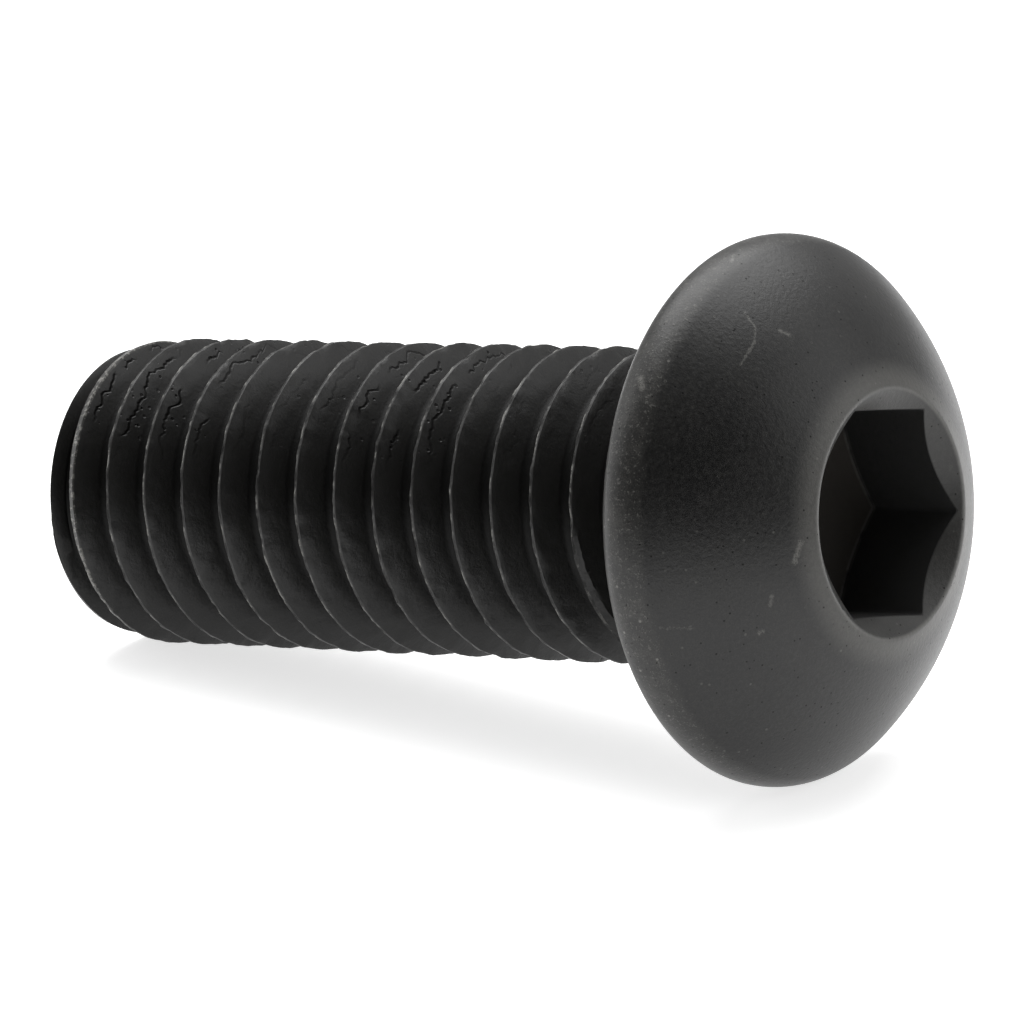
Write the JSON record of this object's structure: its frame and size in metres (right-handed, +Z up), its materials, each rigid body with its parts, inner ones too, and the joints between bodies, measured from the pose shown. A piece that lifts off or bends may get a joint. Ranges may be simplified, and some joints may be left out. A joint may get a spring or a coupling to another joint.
{
  "type": "button head screw",
  "caption": "Short machine screw with a low domed head, a countersunk hexagon socket, a waisted neck and a right-hand thread down to a chamfered point. It lies on its side.",
  "frame": {"origin": "middle of the box of the screw as it lies, on the floor that it rests on", "axes": "+Z up, +X towards the head, +Y across. The screw's own axis lies in the XZ plane and rises 8.4 degrees towards the head."},
  "size_m": [0.0248, 0.0136, 0.0136],
  "materials": {
    "black_oxide_steel": "black oxide on alloy steel, semi-matt, rubbed to bare grey along the crests and the socket's edge"
  },
  "bodies": {
    "root": {"screw": "black_oxide_steel"}
  },
  "joints": []
}
